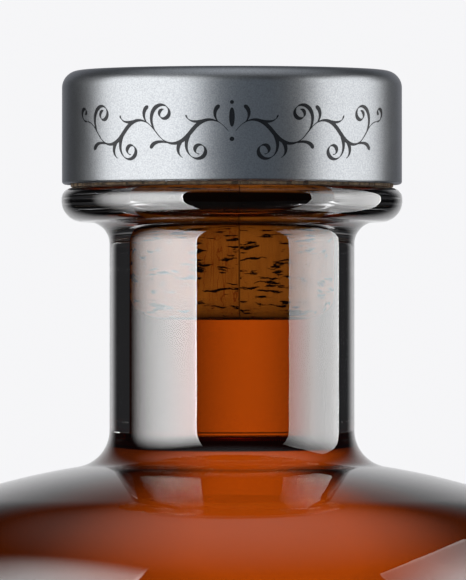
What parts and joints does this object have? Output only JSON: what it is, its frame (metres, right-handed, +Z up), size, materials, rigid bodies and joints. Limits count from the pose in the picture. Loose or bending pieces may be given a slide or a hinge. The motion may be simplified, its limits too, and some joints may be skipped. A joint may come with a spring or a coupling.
{
  "type": "spirit bottle with stopper",
  "caption": "Squat round glass spirit bottle with sloping shoulder, thick straight neck and rolled lip, closed by a metal-capped cork stopper.",
  "frame": {"origin": "on the bottle's axis, on the surface it stands on", "axes": "+Z up along the bottle's axis, out of the mouth; -Y is the front"},
  "size_m": [0.106, 0.106, 0.167],
  "materials": {
    "bottle_glass": "clear, gloss, warm amber with the spirit in it",
    "cork": "natural cork, matt, dark pores",
    "washer_cork": "dark pressed cork, matt",
    "core_wood": "plain turned beech",
    "shell_aluminium": "anodised blue-grey, satin"
  },
  "bodies": {
    "bottle": {"glass_bottle": "bottle_glass"},
    "stopper": {"cork_shank": "cork", "cork_washer": "washer_cork", "head_core": "core_wood", "head_shell": "shell_aluminium"}
  },
  "joints": [
    {"name": "stopper_pull", "type": "slide", "parent": "bottle", "child": "stopper", "axis": [0, 0, 1], "range_m": [0, 0.035]}
  ]
}
